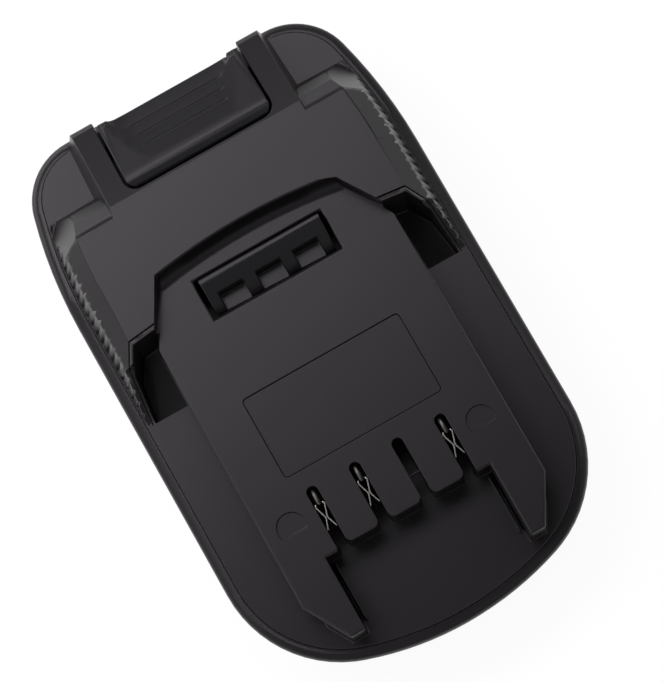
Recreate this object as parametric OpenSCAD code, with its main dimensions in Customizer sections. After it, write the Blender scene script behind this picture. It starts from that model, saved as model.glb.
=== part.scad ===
// Slide-on adapter that lets a cordless tool with a tongue-type battery foot take a pack with a channel foot.
// Units are millimetres, +Z is up, +Y points to the latch end, the bottom of the skirt lies on z = 0.

/* [Body] */
// Overall width across the rim
body_w = 76; // [75:0.5:80]
// Overall length from the curved front to the straight rear
body_l = 121.2; // [120.6:0.2:123]
// Radius of the bowed front edge
front_arc_r = 65.5; // [64:0.5:68]
// Radius of the two front corners
front_corner_r = 25; // [24:0.5:26]
// Radius of the gentle inward sweep at the rear of the sides
side_arc_r = 99; // [92:1:110]
// Radius of the two rear corners
rear_corner_r = 13; // [12:0.5:14]
// Height of the rim where the two shells meet
rim_z = 23.2; // [23:0.1:23.4]
// Height of the base flange of the upper shell
flange_z = 23.5; // [23.4:0.1:23.8]
// Height of the deck of the tongue
deck_z = 33; // [32.8:0.1:33.4]
// Height of the raised platform
platform_z = 37.5; // [37:0.1:38]

/* [Tongue] */
// Width of the tongue that enters the tool foot
tongue_w = 52.6; // [51.8:0.2:53.4]
// Depth of the rail grooves under the tongue edges
groove_d = 2.5; // [2:0.1:2.8]
// Height of the rail grooves
groove_h = 5.4; // [4.6:0.1:5.6]
// Clear width of the recess between the two front prongs
recess_w = 35.6; // [35:0.2:36.4]
// Length of the blank label seat
label_w = 34.2; // [30:0.2:34.6]
// Width of the blank label seat
label_h = 17.3; // [14:0.1:17.6]
// Corner radius of the blank label seat
label_r = 0.9; // [0.6:0.1:1.2]

/* [Terminals] */
// Spacing of the four terminal slots
slot_pitch = 9.25; // [9:0.05:9.5]
// Width of each terminal slot
slot_w = 2.3; // [2.2:0.05:2.4]
// Thickness of the spring contact sheet
contact_t = 0.3; // [0.25:0.05:0.35]
// Sideways position of the two pack blades
blade_x = 11; // [10.6:0.1:11.4]
// Diameter of the insulated wires
wire_d = 1.6; // [1.2:0.1:1.8]

/* [Latch] */
// Width of the release button at its front edge
button_w = 31.3; // [30.6:0.1:31.6]
// Clearance round the release button
button_gap = 0.5; // [0.4:0.05:0.65]
// Downward travel of the release latch
latch_travel = 4; // [3:0.5:4]
// Height of the catch above the deck
catch_rise = 3.2; // [2.6:0.1:3.4]
// Number of working turns of each latch spring
spring_turns = 7; // [6:1:8]
// Outside diameter of each latch spring
spring_d = 5; // [4.6:0.1:5.2]

/* [Pack channel] */
// Clear width of the pack channel above its lips
bay_w = 60; // [59:0.2:60.4]
// Clear width between the two lips
neck_w = 54; // [53:0.2:55]
// Height of the lips
lip_h = 5; // [4.6:0.1:5.4]
// Height of the channel roof above the bottom
roof_z = 14.5; // [14.3:0.1:14.7]

/* [Texture] */
// Spacing of the fine upright ribs on the side walls
knurl_pitch = 2.05; // [1.9:0.05:2.2]
// Height of the fine upright ribs
knurl_h = 0.55; // [0.3:0.05:0.6]

/* [Hidden] */
eps = 0.01;
hw = body_w/2;
hl = body_l/2;
floor_z = roof_z + 3.5;
rim_in = 2.2;
shell_in = rim_in + 0.08;
skirt_in = 1.5;
wall_foot = shell_in + 0.25;
wall_in = wall_foot + 1.9;
slope_run = 3.5;
shoulder_z = platform_z - 4;
draft = atan((wall_in - wall_foot)/(shoulder_z - flange_z));
wall_end = 2.6;
pocket_front = wall_end - 0.3;
pocket_rear = wall_end + 14.3;
pocket_x = hw - 3.55;
neck_y = wall_end + 10;
deck_t = 2.5;
deck_u = deck_z - deck_t;
side_arc_y = hl - 34;
fa_c = [0, front_arc_r - hl];
fc_x = hw - front_corner_r;
fc_y = fa_c[1] - sqrt(pow(front_arc_r - front_corner_r, 2) - fc_x*fc_x);
fc_a = atan2(fc_y - fa_c[1], fc_x);
sa_c = [hw - side_arc_r, side_arc_y];
rc_y = hl - rear_corner_r;
rc_x = sa_c[0] + sqrt(pow(side_arc_r - rear_corner_r, 2) - pow(rc_y - side_arc_y, 2));
rc_a = atan2(rc_y - side_arc_y, rc_x - sa_c[0]);
tongue_h = tongue_w/2;
recess_h = recess_w/2;
tongue_front = 7.4 - hl;
recess_rear = 22.8 - hl;
finger_end = recess_rear + 0.4;
slot_rear = 36 - hl;
lip_gap = 0.75;
slot_span = 1.5*slot_pitch + slot_w/2;
pinch_y = 29.5 - hl;
label_y = slot_rear + 3.6;
window_y = 16.8;
window_l = 8.5;
catch_h = 13.1;
notch_pitch = catch_h*0.622;
step_y = 26.2;
platform_rear = hl - 22.2;
slope_end = hl - 13.5;
hip_d = 53.7 + (hw - 38)*0.794 + (hl - 60.6)*0.607;
bay_front = 14.4 - hl;
skirt_end = hl - 6;
button_rear = hl - 3.9;
button_front = hl - 18.85;
button_r = 2.2;
tower_foot = 22.9;
tower_draft = 9.1;
tower_taper = 2.8;
shell_rear = hl - shell_in;
spring_x = 9;
spring_y = hl - 26.4;
spring_wire = 0.6;
plate_top = deck_u - 0.3;
plate_bot = plate_top - 2.5;
skirt_z = floor_z + latch_travel + 0.6;
carrier_top = flange_z;
carrier_bot = carrier_top - 3;
wire_z = floor_z + 0.3 + wire_d/2;
tail_y = 33.9 - hl;
tab_y = 20.4 - hl;
block_y = bay_front;
block_l = 10;
block_h = blade_x + 4;
carrier_h = recess_h - 0.3;
screw_rear = [26, step_y + 4.6];
screw_front = [22, 18.4 - hl];
bscrew_x = 5.4;
bscrew_y = block_y + 5;
bscrew_z = 8.2;
bscrew_head = 4.4;
bend_r = 4;
bend_a = acos(1 - (1.5*slot_pitch - blade_x)/(2*bend_r));
signs = [-1, 1];

function arc(c, r, a0, a1, n) = [for (k = [0:n]) c + r*[cos(a0 + (a1 - a0)*k/n), sin(a0 + (a1 - a0)*k/n)]];
function flip(p) = [for (k = [len(p) - 1:-1:0]) [-p[k][0], p[k][1]]];
function half_plan(i) = concat(
  arc(fa_c, front_arc_r - i, -90, fc_a, 8),
  arc([fc_x, fc_y], front_corner_r - i, fc_a + 4, 0, 12),
  arc(sa_c, side_arc_r - i, 0, rc_a, 6),
  arc([rc_x, rc_y], rear_corner_r - i, rc_a + 5, 90, 12));
function plan_pts(i) = let(h = half_plan(i), f = flip(h)) concat(h, [for (k = [0:len(f) - 2]) f[k]]);
function half_x(y, i) = y <= side_arc_y ? hw - i
  : sa_c[0] + sqrt(pow(side_arc_r - i, 2) - pow(y - side_arc_y, 2));

function round_pts(w, h, r) = concat(arc([w - r, r], r, -90, 0, 5), arc([w - r, h - r], r, 0, 90, 5));

module plan(i) {
  polygon(plan_pts(i));
}

module slab(i, z0, z1) {
  translate([0, 0, z0]) linear_extrude(z1 - z0) plan(i);
}

// Box given by its two opposite corners
module box(a, b) {
  translate(a) cube(b - a);
}

// Box repeated on both sides of the centre line
module both(a, b) {
  box(a, b);
  box([-b[0], a[1], a[2]], [-a[0], b[1], b[2]]);
}

// Profile drawn in Y and Z, swept across X
module sweep_x(pts, w) {
  translate([-w/2, 0, 0]) rotate([90, 0, 90]) linear_extrude(w) polygon(pts);
}

// Profile drawn in X and Z, swept along Y from y0 to y1
module sweep_y(pts, y0, y1) {
  translate([0, y1, 0]) rotate([90, 0, 0]) linear_extrude(y1 - y0) polygon(pts);
}

module post(p, d, z0, z1) {
  translate([p[0], p[1], z0]) cylinder(d = d, h = z1 - z0, $fn = 40);
}

module four_posts(d, z0, z1) {
  for (s = signs) {
    post([s*screw_rear[0], screw_rear[1]], d, z0, z1);
    post([s*screw_front[0], screw_front[1]], d, z0, z1);
  }
}

// Lower shell with the pack channel
module rim_block() {
  hull() {
    slab(rim_in - 0.2, rim_z - eps, rim_z);
    slab(0.6, rim_z - 0.75, rim_z - 0.75 + eps);
    slab(0.15, rim_z - 1.4, rim_z - 1.4 + eps);
    slab(0, rim_z - 2.2, rim_z - 2.2 + eps);
    slab(skirt_in, 1.2, 1.2 + eps);
    slab(skirt_in + 0.8, 0, eps);
  }
}

// Shallow relief in the rear wall behind the release button
module finger_relief() {
  translate([0, 0, roof_z - 1]) linear_extrude(20)
    polygon([[-16, hl + 1], [-14.6, hl - 1.4], [14.6, hl - 1.4], [16, hl + 1]]);
}

module pack_channel() {
  box([-neck_w/2, bay_front, -1], [neck_w/2, hl + 1, roof_z]);
  box([-bay_w/2, bay_front, lip_h], [bay_w/2, hl + 1, roof_z]);
  box([-hw - 1, skirt_end, -1], [hw + 1, hl + 1, roof_z]);
  for (s = signs) {
    linear_extrude(roof_z) polygon([[s*neck_w/2, skirt_end - 4], [s*(neck_w/2 + 3), skirt_end + 1],
      [s*neck_w/2, skirt_end + 1]]);
  }
}

module lower_housing() {
  color("#2b2a2c") difference() {
    rim_block();
    slab(rim_in, floor_z, rim_z + 1);
    finger_relief();
    pack_channel();
    box([-9, hl - 16, roof_z - 1], [9, hl - 10, floor_z - 1]);
    four_posts(6, roof_z - 1, roof_z + 2.2);
    four_posts(3.4, roof_z, floor_z + 1);
    for (s = signs) {
      post([s*bscrew_x, bscrew_y], 2.6, roof_z - 1, floor_z + 1);
      box([s*blade_x - 0.7, tab_y - 2.2, roof_z - 1], [s*blade_x + 0.7, tab_y + 2.2, floor_z + 1]);
    }
  }
  color("#2b2a2c") for (s = signs) {
    post([s*spring_x, spring_y], spring_d - 2*spring_wire - 0.6, floor_z - 0.2, floor_z + 2.6);
  }
}

// Upper shell: flange, knurled platform, towers and tongue
module flange() {
  hull() {
    slab(shell_in, floor_z, flange_z - 0.2);
    slab(shell_in + 0.2, flange_z - eps, flange_z);
  }
}

module platform_base() {
  intersection() {
    hull() {
      slab(wall_foot, flange_z - 1, flange_z);
      slab(wall_in, shoulder_z - eps, shoulder_z);
      slab(wall_in + slope_run, platform_z - eps, platform_z);
    }
    sweep_x([[wall_end, 0], [slope_end, flange_z - 2], [slope_end, flange_z],
      [slope_end - 2.5, platform_z - 6.1], [slope_end - 5.1, platform_z - 2.5],
      [platform_rear + 1.2, platform_z - 0.5], [platform_rear, platform_z], [platform_rear, platform_z + 1],
      [wall_end + 9.7, platform_z + 1], [wall_end + 9.7, shoulder_z], [wall_end, flange_z]], body_w);
  }
}

module platform_form() {
  difference() {
    platform_base();
    for (m = [0, 1]) mirror([m, 0, 0]) {
      hip_cut();
      for (k = [0:floor(37/knurl_pitch)]) knurl_cut(wall_end + 2 + k*knurl_pitch);
    }
  }
}

// Slanted facet where the side slope meets the rear slope
module hip_cut() {
  rotate([0, 0, 37.4]) translate([hip_d, -50, flange_z]) rotate([0, -26, 0]) cube([30, 100, 40]);
}

// One upright V groove in the drafted side wall
module knurl_cut(y) {
  turn = y <= side_arc_y ? 0 : asin((y - side_arc_y)/(side_arc_r - wall_foot));
  w = knurl_h*1.4142;
  translate([half_x(y, wall_foot), y, flange_z + 0.5]) rotate([0, 0, turn]) rotate([0, -draft, 0])
    rotate([0, 0, 45]) translate([-w/2, -w/2, 0]) cube([w, w, shoulder_z - flange_z - 1.5]);
}

// Drafted outer face of a tower
module tower_cut() {
  translate([tower_foot, slope_end, flange_z]) rotate([0, 0, tower_taper]) rotate([0, -tower_draft, 0])
    translate([0, -40, -10]) cube([20, 80, 40]);
}

module rear_block() {
  intersection() {
    difference() {
      box([-tower_foot - 3, step_y, flange_z - 1], [tower_foot + 3, shell_rear, platform_z]);
      for (m = [0, 1]) mirror([m, 0, 0]) tower_cut();
    }
    sweep_x([[step_y, 0], [shell_rear, 0], [shell_rear, platform_z - 4.2], [shell_rear - 1, platform_z - 3.2],
      [button_front - 1, platform_z], [step_y, platform_z]], body_w);
  }
}

module tongue_plan() {
  difference() {
    polygon([[tongue_h - 2.2, pocket_rear], [tongue_h, neck_y], [tongue_h, tongue_front + 9.3],
      [tongue_h - 5.3, tongue_front], [5.3 - tongue_h, tongue_front], [-tongue_h, tongue_front + 9.3],
      [-tongue_h, neck_y], [2.2 - tongue_h, pocket_rear]]);
    translate([-recess_h, tongue_front - 1]) square([recess_w, recess_rear - tongue_front + 1]);
    translate([-slot_span, recess_rear - 1]) square([2*slot_span, finger_end - recess_rear + 2.3]);
  }
  for (k = [-1, 0, 1]) translate([k*slot_pitch, finger_end + 1.3]) finger(slot_pitch - slot_w);
}

// Rounded end of a deck finger between two terminal slots
module finger(w) {
  r = 1.3;
  translate([-w/2, 0]) square([w, 1]);
  translate([r - w/2, -r]) square([w - 2*r, r]);
  intersection() {
    union() {
      translate([r - w/2, 0]) circle(r, $fn = 32);
      translate([w/2 - r, 0]) circle(r, $fn = 32);
    }
    translate([-w/2, -r]) square([w, r]);
  }
}

module step_plan() {
  r = (19.35*19.35 + 1.6*1.6)/(2*1.6);
  a = asin(19.35/r);
  x = tongue_h + 0.1;
  polygon(concat([[x - 2.2, pocket_rear]], arc([0, step_y - r], r, 90 - a, 90 + a, 12),
    [[2.2 - x, pocket_rear], [-x, neck_y], [-x, -hl], [x, -hl], [x, neck_y]]));
}

// Outline of a rail pocket, drawn in by a at the side, b at the slant and c at the rear
module pocket_plan(a, b, c) {
  polygon([[tongue_h, pocket_front], [pocket_x - 1.01*a, pocket_front],
    [pocket_x - 1.55 - 1.25*a + 0.3*b, wall_end + 9.4 + 1.6*a - 2*b],
    [hw - 7.8 - 1.39*b + 0.86*c, wall_end + 13.6 + 0.16*b - 1.1*c],
    [tongue_h - 2.2 + 0.55*c, pocket_rear - 1.07*c], [tongue_h, neck_y]]);
}

// Rail pocket with a floor that falls toward the terminal end
module rail_pocket() {
  intersection() {
    linear_extrude(60) pocket_plan(0.65, 1.15, 1.2);
    sweep_x([[wall_end - 3, floor_z + 0.8], [pocket_rear + 1, flange_z - 0.9], [pocket_rear + 1, 60],
      [wall_end - 3, 60]], body_w);
  }
}

// Thin groove that sets off the lip round each rail pocket
module lip_grooves() {
  difference() {
    for (m = [0, 1]) mirror([m, 0, 0]) translate([0, 0, flange_z - 0.3]) linear_extrude(30) difference() {
      pocket_plan(0, 0, 0);
      pocket_plan(0.25, 0.35, 0.4);
    }
    translate([0, 0, -0.8]) platform_base();
  }
}

// Narrow groove between each prong and the lip along its foot
module prong_grooves() {
  both([recess_h - lip_gap, tongue_front + 2.4, flange_z - 2], [recess_h, recess_rear - 0.4, flange_z + 1.2]);
}

module button_hole(g) {
  w = button_w/2 + g;
  r = button_r + g;
  h = concat(arc([w - r, button_front - g + r], r, -90, 0, 8), [[w - 0.25, hl + 1]]);
  polygon(concat(h, flip(h)));
}

module terminal_slots() {
  for (k = [-1.5, -0.5, 0.5, 1.5]) {
    translate([k*slot_pitch, 0, flange_z]) linear_extrude(20) {
      translate([0, slot_rear - slot_w/2]) circle(d = slot_w, $fn = 32);
      translate([-slot_w/2, recess_rear + 0.6]) square([slot_w, slot_rear - slot_w/2 - recess_rear - 0.6]);
    }
    translate([k*slot_pitch - slot_w/2, recess_rear - 3, flange_z]) cube([slot_w, 4, 20]);
  }
}

module d_mark() {
  intersection() {
    circle(2.9, $fn = 48);
    translate([-3, -1.25]) square([6, 5]);
  }
}

module label_form(g) {
  h = round_pts(label_w/2 - g, label_h - 2*g, label_r - g);
  translate([0, g]) polygon(concat(h, flip(h)));
}

module inner_space() {
  difference() {
    union() {
      both([20, pocket_rear + 2.6, floor_z - 1], [hw - 7, platform_rear - 1, deck_u]);
      both([25, pocket_rear + 2.6, floor_z - 1], [hw - 9, platform_rear - 1, platform_z - 3]);
    }
    four_posts(7, floor_z - 2, deck_z + 4);
  }
  box([-tongue_h + 5, slot_rear + 3, floor_z - 1], [tongue_h - 5, step_y + 2, deck_u]);
  box([-18, step_y, floor_z - 1], [18, button_front - 3, deck_u]);
  box([-18, step_y + 3, floor_z - 1], [18, button_front - 3, platform_z - 3]);
  box([-carrier_h - 0.4, finger_end + 1, floor_z - 1], [carrier_h + 0.4, slot_rear + 6, flange_z]);
  box([-16, tab_y - 4, floor_z - 1], [16, recess_rear + 2, flange_z - 2.2]);
  box([-button_w/2 + 1.5, button_front - 4, floor_z - 1], [button_w/2 - 1.5, button_front + 1, deck_u]);
  for (k = [-1, 0, 1]) {
    box([k*slot_pitch - 2.2, recess_rear + 1.6, flange_z - 1], [k*slot_pitch + 2.2, slot_rear - 1, deck_u]);
  }
}

module upper_housing() {
  color("#2d2c2e") difference() {
    union() {
      flange();
      difference() {
        union() {
          platform_form();
          rear_block();
        }
        translate([0, 0, deck_z]) linear_extrude(20) step_plan();
      }
      translate([0, 0, flange_z - 0.5]) linear_extrude(deck_z - flange_z + 0.5) tongue_plan();
      both([recess_h - lip_gap - 0.4, tongue_front + 2.4, flange_z - 0.5],
        [recess_h - lip_gap, recess_rear - 1, flange_z + 1.1]);
    }
    both([tongue_h - groove_d, -hl, flange_z], [tongue_h + 1, neck_y, flange_z + groove_h]);
    for (m = [0, 1]) mirror([m, 0, 0]) rail_pocket();
    lip_grooves();
    prong_grooves();
    for (m = [0, 1]) mirror([m, 0, 0]) translate([0, 0, flange_z]) linear_extrude(30)
      polygon([[tongue_h, -hl], [hw, -hl], [hw, wall_end], [tongue_h, wall_end]]);
    box([-catch_h - 0.9, window_y - window_l/2, deck_u - 1],
      [catch_h + 0.9, window_y + window_l/2, deck_z + 9]);
    terminal_slots();
    inner_space();
    translate([0, 0, floor_z - 1]) linear_extrude(30) intersection() {
      button_hole(button_gap);
      translate([-20, 0]) square([40, button_rear - 1.5]);
    }
    translate([0, 0, flange_z]) linear_extrude(20) button_hole(button_gap);
    translate([0, label_y, deck_z - 0.5]) linear_extrude(2) label_form(0);
    for (s = signs) translate([s*20.6, 31 - hl, deck_z - 0.35]) linear_extrude(2) d_mark();
    four_posts(3, floor_z - 1, deck_z - 4);
  }
  color("#2d2c2e") box([0.5*slot_pitch - slot_w/2 - 0.2, pinch_y - 0.95, deck_z - 4.4],
    [0.5*slot_pitch + slot_w/2 + 0.2, pinch_y - 0.35, deck_z - 3.2]);
}

// Shallow grip groove that runs out to nothing at both ends
module grip_groove(h) {
  rotate_extrude($fn = 24)
    polygon([[0, -h - 0.6], [0.05, -h - 0.6], [0.3, 0.6 - h], [0.3, h - 0.6], [0.05, h + 0.6], [0, h + 0.6]]);
}

// Release latch: button, plate and catch in one moulding
module button_form() {
  z_hi = platform_z - 0.1;
  rear = button_rear - 0.45;
  p0 = [button_front + 3.8, z_hi - 0.26];
  p1 = [rear, platform_z - 2.8];
  c = norm(p1 - p0)/2;
  sag = 0.12;
  r = (c*c + sag*sag)/(2*sag);
  u = (p1 - p0)/(2*c);
  ctr = (p0 + p1)/2 + (r - sag)*[-u[1], u[0]];
  difference() {
    intersection() {
      sweep_x([[button_front, skirt_z], [button_front, z_hi - 0.8], [button_front + 0.25, z_hi - 0.45],
        [button_front + 0.8, z_hi - 0.18], [button_front + 1.5, z_hi - 0.03], [button_front + 2.2, z_hi],
        [button_front + 3, z_hi - 0.08], p0, [button_rear, platform_z - 2.3], [button_rear, plate_bot + 0.4],
        [button_rear - 1.8, plate_bot + 0.4], [button_rear - 1.8, skirt_z]], body_w);
      linear_extrude(60) button_hole(0);
    }
    translate([0, ctr[0], ctr[1]]) rotate([0, 90, 0]) rotate_extrude($fn = 240)
      polygon([[0, -14.4], [r - 0.55, -14.4], [r - 0.45, -13.3], [r - 0.22, -11.8], [r - 0.06, -10.3],
        [r, -9], [r, 9], [r - 0.06, 10.3], [r - 0.22, 11.8], [r - 0.45, 13.3], [r - 0.55, 14.4],
        [0, 14.4]]);
    translate([0, 0, plate_bot]) linear_extrude(20)
      polygon([[-13.4, hl], [-13.4, button_rear], [-12.7, rear], [12.7, rear], [13.4, button_rear],
        [13.4, hl]]);
    for (k = [0, 1, 2]) {
      y = button_rear - 3.5 - 2.35*k;
      z = ctr[1] - sqrt(r*r - pow(y - ctr[0], 2));
      translate([0, y, z + 0.12]) rotate([0, 90, 0]) grip_groove(9.8 - 0.3*k);
    }
  }
}

module catch_form() {
  y0 = window_y - window_l/2 + 0.8;
  y1 = window_y + window_l/2 - 0.9;
  top = deck_z + catch_rise;
  difference() {
    sweep_x([[y0, plate_bot + 1], [y0, deck_z - 1.7], [y1 - 1.1, top], [y1 - 0.15, top - 0.12],
      [y1, top - 0.4], [y1, plate_bot + 1]], 2*catch_h);
    for (k = [-1, 0, 1]) box([k*notch_pitch - 2.7, y0 - 1, plate_top + 0.5],
      [k*notch_pitch + 2.7, y0 + 3.2, top]);
  }
}

module release_latch() {
  color("#343336") difference() {
    union() {
      button_form();
      catch_form();
      box([-catch_h, window_y - window_l/2 + 0.4, plate_bot], [catch_h, button_front + 2, plate_top]);
    }
    for (s = signs) post([s*spring_x, spring_y], spring_d + 0.5, plate_bot - 1, plate_bot + 1);
  }
}

// Closed tube through a list of rings with equal numbers of points
module tube(rings) {
  n = len(rings) - 1;
  sides = len(rings[0]);
  side = [for (k = [0:n - 1]) for (j = [0:sides - 1]) let(i = k*sides, jn = (j + 1) % sides)
    [i + j, i + sides + j, i + sides + jn, i + jn]];
  polyhedron([for (r = rings) for (q = r) q],
    concat(side, [[for (j = [0:sides - 1]) j]], [[for (j = [sides - 1:-1:0]) n*sides + j]]));
}

// Coil spring as one unbroken tube
module coil(d, w, h, turns) {
  per = 12;
  n = turns*per;
  sides = 6;
  tube([for (k = [0:n]) let(a = 360*k/per)
    [for (j = [0:sides - 1]) let(b = 360*j/sides, q = (d - w)/2 + w/2*cos(b))
      [q*cos(a), q*sin(a), w/2 + (h - w)*k/n + w/2*sin(b)]]]);
}

module latch_spring(s) {
  color("#b8b9bc") translate([s*spring_x, spring_y, floor_z + 0.05]) coil(spring_d, spring_wire,
    plate_bot + 1 - floor_z - 0.1, spring_turns);
}

module latch_spring_left() {
  latch_spring(-1);
}

module latch_spring_right() {
  latch_spring(1);
}

// Saddle contact: a rounded rear bridge, two leaves that pinch and flare, a tail through the carrier
module contact_leaf(s) {
  h = contact_t/2;
  far = slot_w/2 - 0.05 - h;
  ys = [pinch_y + 3.1, pinch_y + 2.5, pinch_y + 0.2, pinch_y - 0.2, pinch_y - 2.3];
  xs = [far - 0.2, far, h + 0.05, h + 0.05, far];
  polygon(concat([for (k = [0:4]) [s*(xs[k] - h), ys[k]]], [for (k = [4:-1:0]) [s*(xs[k] + h), ys[k]]]));
}

module contact(x) {
  out = slot_w/2 - 0.25;
  top = deck_z - 2;
  y0 = pinch_y + 2.9;
  y1 = slot_rear - 0.35;
  color("#c3bfb6") translate([x, 0, 0]) {
    difference() {
      union() {
        translate([0, y1, top - out]) rotate([90, 0, 0]) cylinder(r = out, h = y1 - y0, $fn = 48);
        box([-out, y0, carrier_top], [out, y1, top - out]);
      }
      translate([0, y1 + 1, top - out]) rotate([90, 0, 0])
        cylinder(r = out - contact_t, h = y1 - y0 + 2, $fn = 48);
      box([contact_t - out, y0 - 1, carrier_top + 0.8], [out - contact_t, y1 + 1, top - out]);
    }
    translate([0, 0, flange_z + 0.9]) linear_extrude(deck_z - 1.4 - flange_z) for (s = signs) contact_leaf(s);
    box([-contact_t/2, tail_y - 1, floor_z + 0.3], [contact_t/2, tail_y + 1, carrier_top + 0.4]);
  }
}

module contact_positive() {
  contact(1.5*slot_pitch);
}

module contact_negative() {
  contact(-1.5*slot_pitch);
}

module contact_data() {
  contact(-0.5*slot_pitch);
}

// Plate that carries the three contacts above the shell floor
module contact_carrier() {
  color("#3a3a3d") difference() {
    union() {
      box([-carrier_h, finger_end + 1, carrier_bot], [carrier_h, slot_rear + 5.4, carrier_top]);
      for (x = [1.3 - carrier_h, 0, carrier_h - 1.3]) {
        for (y = [finger_end + 2.3, slot_rear + 4]) post([x, y], 2.4, floor_z, carrier_bot + 0.5);
      }
    }
    for (k = [-1.5, -0.5, 1.5]) {
      x = k*slot_pitch;
      box([x - 0.5, tail_y - 1.2, carrier_bot - 1], [x + 0.5, tail_y + 1.2, carrier_top + 1]);
    }
  }
}

// Block that holds the two pack blades under the roof
module battery_terminal_block() {
  color("#262527") difference() {
    union() {
      box([-block_h, block_y + 0.3, 6], [block_h, block_y + block_l, roof_z]);
      box([-blade_x - 2.4, block_y + block_l - 1, 6], [-blade_x + 2.4, block_y + block_l + 3, roof_z]);
      box([blade_x - 2.4, block_y + block_l - 1, 6], [blade_x + 2.4, block_y + block_l + 3, roof_z]);
    }
    for (s = signs) {
      box([s*blade_x - 0.45, block_y + 3, 7], [s*blade_x + 0.45, block_y + block_l + 9, roof_z + 1]);
      post([s*bscrew_x, bscrew_y], 2.6, 5, roof_z + 1);
      post([s*bscrew_x, bscrew_y], bscrew_head + 0.6, 5, bscrew_z);
    }
    box([-5, block_y + block_l - 2, 5], [5, block_y + block_l + 1, roof_z - 2]);
  }
}

module blade(s) {
  color("#cfc6ae") {
    box([s*blade_x - 0.4, block_y + 3.2, 7.2], [s*blade_x + 0.4, block_y + 27, roof_z - 0.6]);
    box([s*blade_x - 0.4, tab_y - 1.5, roof_z - 0.7],
      [s*blade_x + 0.4, tab_y + 1.5, wire_z + wire_d/2 + 0.2]);
  }
}

module blade_positive() {
  blade(1);
}

module blade_negative() {
  blade(-1);
}

// Wire from a blade tab to a contact tail: a straight run, two soft bends and a short end
module lead() {
  sides = 12;
  y1 = tail_y - 2.4 - 2*bend_r*sin(bend_a);
  bend_1 = [for (k = [0:4]) let(a = bend_a*k/4) [blade_x + bend_r*(1 - cos(a)), y1 + bend_r*sin(a), a]];
  bend_2 = [for (k = [3:-1:0]) let(a = bend_a*k/4)
    [1.5*slot_pitch - bend_r*(1 - cos(a)), tail_y - 2.4 - bend_r*sin(a), a]];
  path = concat([[blade_x, tab_y + 1.5, 0]], bend_1, bend_2, [[1.5*slot_pitch, tail_y - 1, 0]]);
  tube([for (p = path) [for (j = [0:sides - 1]) let(b = 360*j/sides, q = wire_d/2*cos(b))
    [p[0] + q*cos(p[2]), p[1] - q*sin(p[2]), wire_z + wire_d/2*sin(b)]]]);
}

module positive_wire() {
  color("#a02622") lead();
}

module negative_wire() {
  color("#1c1c1e") mirror([1, 0, 0]) lead();
}

module sleeve(s) {
  translate([s*blade_x, tab_y + 1.6, wire_z]) rotate([-90, 0, 0]) difference() {
    cylinder(d = wire_d + 0.56, h = 2.6, $fn = 40);
    translate([0, 0, -1]) cylinder(d = wire_d + 0.06, h = 5, $fn = 40);
  }
}

module positive_sleeve() {
  color("#8c2b28") sleeve(1);
}

module negative_sleeve() {
  color("#242426") sleeve(-1);
}

// Small resistor from the data contact to the negative contact
module sense_resistor() {
  z = floor_z + 1.2;
  y = tail_y + 0.3;
  a = -1.5*slot_pitch + contact_t/2;
  b = -0.5*slot_pitch - contact_t/2;
  color("#4f7f8c") translate([a, y, z]) rotate([0, 90, 0]) cylinder(d = 0.5, h = b - a, $fn = 24);
  color("#4f7f8c") translate([(a + b)/2 - 2, y, z]) rotate([0, 90, 0]) cylinder(d = 1.7, h = 4, $fn = 32);
}

// Self-tapping screw, head down, drawn upward from the underside of its head
module screw(p, z, head_d, head_h, shank_d, len) {
  translate([p[0], p[1], z]) difference() {
    union() {
      translate([0, 0, -head_h]) cylinder(d = head_d, h = head_h, $fn = 40);
      translate([0, 0, -eps]) cylinder(d = shank_d, h = len, $fn = 32);
    }
    translate([-0.4, -head_d*0.32, -head_h - 1]) cube([0.8, head_d*0.64, 1 + head_h*0.5]);
    translate([-head_d*0.32, -0.4, -head_h - 1]) cube([head_d*0.64, 0.8, 1 + head_h*0.5]);
  }
}

module housing_screws() {
  color("#8d8f93") for (s = signs) {
    screw([s*screw_rear[0], screw_rear[1]], roof_z + 2.2, 5.4, 1.9, 2.8, 10);
    screw([s*screw_front[0], screw_front[1]], roof_z + 2.2, 5.4, 1.9, 2.8, 10);
  }
}

module terminal_block_screws() {
  color("#8d8f93") for (s = signs) {
    screw([s*bscrew_x, bscrew_y], bscrew_z, bscrew_head, 1.7, 2.3, floor_z - bscrew_z - 0.2);
  }
}

module label_plate() {
  color("#38373a") translate([0, label_y, deck_z - 0.5]) linear_extrude(0.35) label_form(0.12);
}

lower_housing();
upper_housing();
release_latch();
latch_spring_left();
latch_spring_right();
contact_positive();
contact_negative();
contact_data();
contact_carrier();
battery_terminal_block();
blade_positive();
blade_negative();
positive_wire();
negative_wire();
positive_sleeve();
negative_sleeve();
sense_resistor();
housing_screws();
terminal_block_screws();
label_plate();
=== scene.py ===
import bpy, bmesh, math
import numpy as np
from mathutils import Matrix, Vector


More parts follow.
